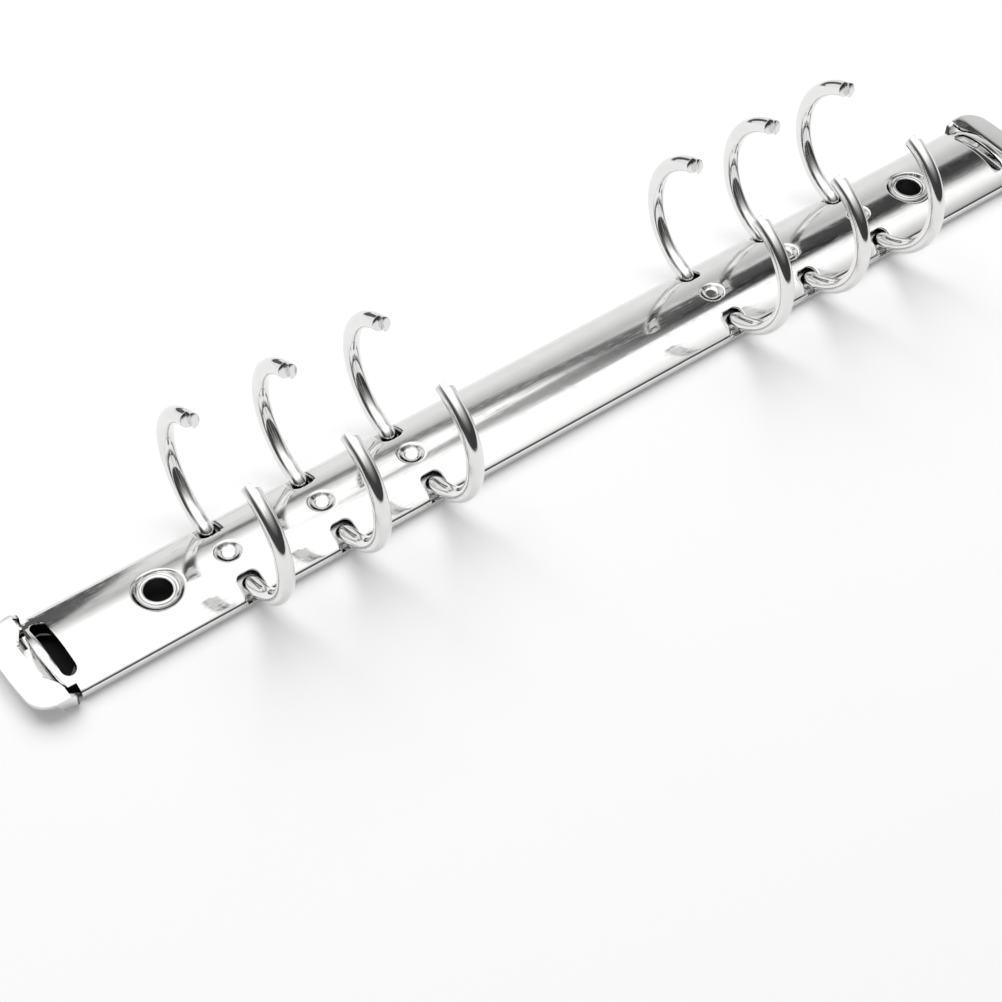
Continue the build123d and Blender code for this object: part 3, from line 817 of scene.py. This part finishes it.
def ring_tree():
    """Geometry tree: a set of half rings along X, with its sizes as inputs."""
    tree = bpy.data.node_groups.new("half_rings", "GeometryNodeTree")
    for name, value in RING_INPUTS.items():
        socket = tree.interface.new_socket(name, in_out="INPUT", socket_type=SOCKETS[type(value)])
        socket.default_value = value
    tree.interface.new_socket("Finish", in_out="INPUT", socket_type="NodeSocketMaterial")
    tree.interface.new_socket("Mesh", in_out="OUTPUT", socket_type="NodeSocketGeometry")
    given = tree.nodes.new("NodeGroupInput").outputs

    leg_line = add_node(tree, "GeometryNodeCurvePrimitiveLine", {
        "Start": given["Foot"], "End": given["Leg end"]})
    heel = add_node(tree, "GeometryNodeCurveArc", {
        "Resolution": given["Heel points"], "Radius": given["Heel radius"],
        "Start Angle": given["Heel start"], "Sweep Angle": given["Heel sweep"]}, mode="RADIUS")
    heel = add_node(tree, "GeometryNodeTransform", {
        "Geometry": heel.outputs[0], "Translation": given["Heel middle"]})
    bow = add_node(tree, "GeometryNodeCurveArc", {
        "Resolution": given["Ring points"], "Radius": given["Ring radius"],
        "Start Angle": given["Ring start"], "Sweep Angle": given["Ring sweep"]}, mode="RADIUS")
    parts = add_node(tree, "GeometryNodeJoinGeometry")
    for part in (bow, heel, leg_line):
        tree.links.new(part.outputs[0], parts.inputs[0])
    wireframe = add_node(tree, "GeometryNodeCurveToMesh", {"Curve": parts.outputs[0]})
    welded = add_node(tree, "GeometryNodeMergeByDistance", {
        "Geometry": wireframe.outputs[0], "Distance": 0.001 * MM})
    path = add_node(tree, "GeometryNodeMeshToCurve", {"Mesh": welded.outputs[0]})
    path = add_node(tree, "GeometryNodeSetCurveNormal", {"Curve": path.outputs[0]}, mode="Z_UP")
    wire = add_node(tree, "GeometryNodeCurvePrimitiveCircle", {
        "Resolution": given["Wire sides"], "Radius": given["Wire radius"]})
    swept = add_node(tree, "GeometryNodeCurveToMesh", {
        "Curve": path.outputs[0], "Profile Curve": wire.outputs[0], "Fill Caps": True})

    block = add_node(tree, "GeometryNodeMeshCube", {"Size": given["Step size"]})
    block = add_node(tree, "GeometryNodeTransform", {
        "Geometry": block.outputs[0], "Translation": given["Step place"], "Rotation": given["Step turn"]})
    cut = add_node(tree, "GeometryNodeMeshBoolean", {
        "Mesh 1": swept.outputs[0], "Mesh 2": block.outputs[0]}, operation="DIFFERENCE", solver="EXACT")

    rivet = add_node(tree, "GeometryNodeMeshCone", {
        "Vertices": 32, "Radius Top": given["Rivet radius"], "Radius Bottom": given["Rivet end radius"],
        "Depth": given["Rivet height"]})
    rivet = add_node(tree, "GeometryNodeTransform", {
        "Geometry": rivet.outputs[0], "Translation": given["Rivet place"], "Rotation": given["Rivet turn"]})
    half = add_node(tree, "GeometryNodeJoinGeometry")
    for part in (cut, rivet):
        tree.links.new(part.outputs[0], half.inputs[0])
    stood = add_node(tree, "GeometryNodeTransform", {
        "Geometry": half.outputs[0], "Translation": given["Middle"], "Rotation": (pi / 2, 0, pi / 2)})

    places = add_node(tree, "GeometryNodeJoinGeometry")
    for side in (-1, 1):
        start = add_node(tree, "ShaderNodeCombineXYZ", {
            "X": math(tree, "MULTIPLY", given["Middle gap"], side / 2)})
        step = add_node(tree, "ShaderNodeCombineXYZ", {"X": math(tree, "MULTIPLY", given["Pitch"], side)})
        line = add_node(tree, "GeometryNodeMeshLine", {
            "Count": given["Rings per end"], "Start Location": start.outputs[0], "Offset": step.outputs[0]})
        tree.links.new(line.outputs[0], places.inputs[0])
    rings = add_node(tree, "GeometryNodeInstanceOnPoints", {
        "Points": places.outputs[0], "Instance": stood.outputs[0]})
    about = add_node(tree, "ShaderNodeCombineXYZ", {"Z": given["Turn"]})
    faced = add_node(tree, "GeometryNodeTransform", {
        "Geometry": rings.outputs[0], "Rotation": about.outputs[0]})
    real = add_node(tree, "GeometryNodeRealizeInstances", {"Geometry": faced.outputs[0]})
    painted = add_node(tree, "GeometryNodeSetMaterial", {
        "Geometry": real.outputs[0], "Material": given["Finish"]})
    add_node(tree, "NodeGroupOutput", {"Mesh": painted.outputs[0]})
    return tree


print("kinds of input", sorted(SOCKETS.values()))


# %% [markdown]
# The inputs follow from the places above. The step at the tip is half the wire thick, and a small gap
# keeps the two halves from touching when they lap.

# %% Inputs of the tree
def flat_point(point):
    """A point (y, z) of the section, as the tree's drawing plane has it, from the ring's middle."""
    return (point.x - ring_middle.x, point.y - ring_middle.y, 0.0)


tip_step, tip_gap = 1.1 * MM, 0.12 * MM
lap = (tip_step - tip_gap) / 2 / ring_radius
heel_start = pi - tilt
heel_end = meet + pi
step_length = 2 * tip_step
step_middle = Vector((cos(tip), sin(tip))) * ring_radius
step_along = Vector((-sin(tip), cos(tip))) * (step_length / 2 - (tip_step + tip_gap) / 2)
rivet_height, rivet_radius = 0.35 * MM, 1.2 * MM
rivet_end_radius = rivet_radius - rivet_height * tan(radians(30))
rivet_middle = foot - leg * (rail_sheet + rivet_height / 2)
RING_INPUTS = {
    "Pitch": ring_pitch, "Middle gap": middle_gap, "Rings per end": 3, "Turn": 0.0,
    "Wire radius": wire_radius, "Wire sides": 40, "Ring radius": ring_radius, "Ring points": 84,
    "Ring start": meet, "Ring sweep": tip + lap - meet, "Heel radius": heel_radius, "Heel points": 16,
    "Heel start": heel_start, "Heel sweep": heel_end - heel_start, "Heel middle": flat_point(heel_middle),
    "Foot": flat_point(foot), "Leg end": flat_point(foot + leg * leg_height),
    "Middle": (0.0, ring_middle.x, ring_middle.y),
    "Step size": (4 * wire_radius, step_length, 2 * wire_radius),
    "Step place": (*(step_middle + step_along), -(wire_radius - tip_gap / 2)), "Step turn": (0.0, 0.0, tip),
    "Rivet radius": rivet_radius, "Rivet end radius": rivet_end_radius, "Rivet height": rivet_height,
    "Rivet place": flat_point(rivet_middle), "Rivet turn": (-pi / 2, 0.0, -tilt),
}
print("inputs", len(RING_INPUTS), "arc from", round(degrees(meet), 1), "to", round(degrees(tip + lap), 1))


# %% [markdown]
# Each body gets its own set as a plain mesh. The inputs are set before the tree runs for the first time.

# %% Two sets of rings
def ring_set(name, body, side_turn):
    """One body's six half rings as a plain mesh, with a fine bevel on the cut tips."""
    nodes = [f"{body[:-1]}_{number}" for number in range(1, 7)]
    thing = bpy.data.objects.new(name + "_source", bpy.data.meshes.new(name))
    bpy.context.scene.collection.objects.link(thing)
    maker = thing.modifiers.new("rings", "NODES")
    maker.node_group = half_rings
    given = [item for item in half_rings.interface.items_tree if item.in_out == "INPUT"]
    sockets = {item.name: item.identifier for item in given}
    for title, value in {**RING_INPUTS, "Turn": side_turn, "Finish": wire_nickel}.items():
        maker[sockets[title]] = value
    softened = thing.modifiers.new("tips", "BEVEL")
    softened.width, softened.segments = 0.12 * MM, 3
    softened.limit_method, softened.angle_limit = "ANGLE", radians(50)
    return finish_piece(name, baked(thing), wire_nickel, body, nodes, 50)


half_rings = ring_tree()
ring_set("rear_half_rings", "rear_rings", 0.0)
ring_set("front_half_rings", "front_rings", pi)


# %% [markdown]
# ## Eyelets
# A fixing eyelet is a short tube whose rim is rolled over the pressed seat. It is a turned form, so its
# outline is drawn once and spun.

# %% Eyelets
def eyelet(name, middle):
    """Tubular post: rolled lip in the seat, a bead crimped under it, barrel and flared foot."""
    bore, wall, lip, bead, foot_radius = 2.45 * MM, 0.35 * MM, 3.3 * MM, 3.2 * MM, 3.4 * MM
    lip_height, bead_height, foot_height = 0.65 * MM, 0.4 * MM, 0.4 * MM
    seat = cover_height - seat_depth
    top, under, barrel = seat + lip_height, seat - sheet, bore + wall
    outline = [(bore, 0.0), (bore, top - wall)]
    outline += arc((barrel, top - wall), wall, 180, 90, 7)[1:]
    outline += arc((lip - wall, top - wall), wall, 90, 0, 7)
    outline += [(lip, seat), (barrel, seat), (barrel, under), (bead, under)]
    outline += [(barrel, under - bead_height), (barrel, foot_height), (foot_radius, 0.0)]
    turned_form = bmesh.new()
    points = [turned_form.verts.new((r, 0, h)) for r, h in outline]
    ring = [turned_form.edges.new((a, b)) for a, b in zip(points, points[1:] + points[:1])]
    bmesh.ops.spin(turned_form, geom=points + ring, axis=(0, 0, 1), cent=(0, 0, 0), angle=2 * pi, steps=96,
                   use_merge=True)
    bmesh.ops.remove_doubles(turned_form, verts=turned_form.verts, dist=1e-7)
    bmesh.ops.recalc_face_normals(turned_form, faces=turned_form.faces)
    bmesh.ops.translate(turned_form, vec=(middle, 0, 0), verts=turned_form.verts)
    mesh = bpy.data.meshes.new(name)
    turned_form.to_mesh(mesh)
    turned_form.free()
    return finish_piece(name + "_post", mesh, eyelet_nickel, "cover", [name], 40)


for side, name in ((-1, "left_eyelet"), (1, "right_eyelet")):
    eyelet(name, side * eyelet_x)


# %% [markdown]
# ## Levers
# A thumb lever is one stamping: a half-moon tab, two ears that hook into the cover's corners and a yoke
# under the rails. Its outline is already right in the CAD model, so its copy is used. The copy's loose
# triangles are merged, the flat faces are joined again, and every edge gets the small round that
# stamping and plating leave. The sheet is drawn up into the corners beside the neck, so a small corner
# piece is joined to the tab on each side there, which follows the bulge of the cover's end.

# %% Corners of the tab
TAB_TOP, TAB_SHEET = 3.6 * MM, 0.8 * MM
# in millimetres: from the neck out along the bulge of the cover's end, and back across the tab
CORNER_PLAN = [(111.3, 3.9), (110.75, 3.9), (110.2, 5.0), (109.4, 6.3), (109.0, 7.95), (111.3, 7.95)]


def lug_fills(side):
    """Corner pieces of the tab, which close the corners beside the neck up to the cover's end."""
    sign = 1 if side == "right" else -1
    fills = bmesh.new()
    for across in (-1, 1):
        low_ring, high_ring = (
            [fills.verts.new((sign * x * MM, across * y * MM, z)) for x, y in CORNER_PLAN]
            for z in (TAB_TOP - TAB_SHEET, TAB_TOP))
        fills.faces.new(low_ring)
        fills.faces.new(high_ring)
        for i in range(len(CORNER_PLAN)):
            k = (i + 1) % len(CORNER_PLAN)
            fills.faces.new((low_ring[i], low_ring[k], high_ring[k], high_ring[i]))
    bmesh.ops.recalc_face_normals(fills, faces=fills.faces)
    mesh = bpy.data.meshes.new(f"{side}_lug_fills")
    fills.to_mesh(mesh)
    fills.free()
    made = bpy.data.objects.new(f"{side}_lug_fills", mesh)
    bpy.context.scene.collection.objects.link(made)
    return made


print("corner pieces", round(CORNER_PLAN[0][0] - CORNER_PLAN[-2][0], 1), "mm long")


# %% Levers
def lever(side):
    """Rounded copy of a CAD lever, standing for it."""
    source = frame["nodes"][f"{side}_lever"]
    mesh = source.data.copy()
    welded = bmesh.new()
    welded.from_mesh(mesh)
    bmesh.ops.remove_doubles(welded, verts=welded.verts, dist=1e-6)
    bmesh.ops.dissolve_limit(welded, angle_limit=radians(1), verts=welded.verts, edges=welded.edges)
    welded.to_mesh(mesh)
    welded.free()
    blank = bpy.data.objects.new(f"{side}_lever_blank", mesh)
    bpy.context.scene.collection.objects.link(blank)
    fills = lug_fills(side)
    joined = blank.modifiers.new("corners", "BOOLEAN")
    joined.operation, joined.solver, joined.object = "UNION", "EXACT", fills
    rounded = blank.modifiers.new("rounds", "BEVEL")
    rounded.width, rounded.segments = 0.13 * MM, 3
    rounded.limit_method, rounded.angle_limit = "ANGLE", radians(32)
    mesh = baked(blank)
    bpy.data.objects.remove(fills)
    node = f"{side}_lever"
    return finish_piece(f"{side}_thumb_lever", mesh, lever_nickel, node, [node], 32)


for side in ("left", "right"):
    lever(side)

# %% [markdown]
# ## Rails
# The rails lie in the dark under the cover and show only in the notches. Their CAD nodes stay, with
# a duller plate.

# %% Rails
for name in ("rear_rail", "front_rail"):
    node = frame["nodes"][name]
    node.data.materials.clear()
    node.data.materials.append(rail_nickel)
    print(name, len(node.data.polygons), "faces")
